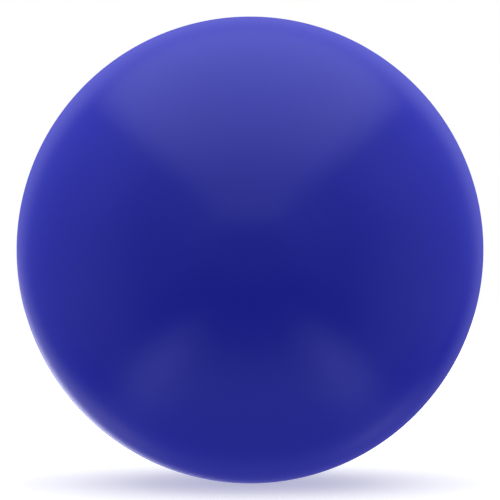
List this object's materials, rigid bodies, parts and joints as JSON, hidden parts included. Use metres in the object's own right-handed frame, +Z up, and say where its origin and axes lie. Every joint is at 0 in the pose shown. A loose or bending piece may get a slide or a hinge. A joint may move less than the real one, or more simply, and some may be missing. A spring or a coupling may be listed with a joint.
{
  "type": "croquet ball",
  "caption": "Smooth solid lawn ball: a welded two-part hard plastic shell over a pressed cork and rubber core.",
  "frame": {"origin": "the ball's centre", "axes": "+Z up; +Y along the mould axis, from the front half to the rear half, with the weld in the XZ plane; +X to the right seen from the front"},
  "size_m": [0.092, 0.092, 0.092],
  "materials": {
    "blue_nylon": "satin",
    "blue_weld_nylon": "satin",
    "cork_composition": "matte",
    "rubber_cement": "satin"
  },
  "bodies": {
    "root": {"front_half_shell": "blue_nylon", "rear_half_shell": "blue_nylon", "seam_weld": "blue_weld_nylon", "cork_core": "cork_composition", "core_cement": "rubber_cement"}
  },
  "joints": []
}
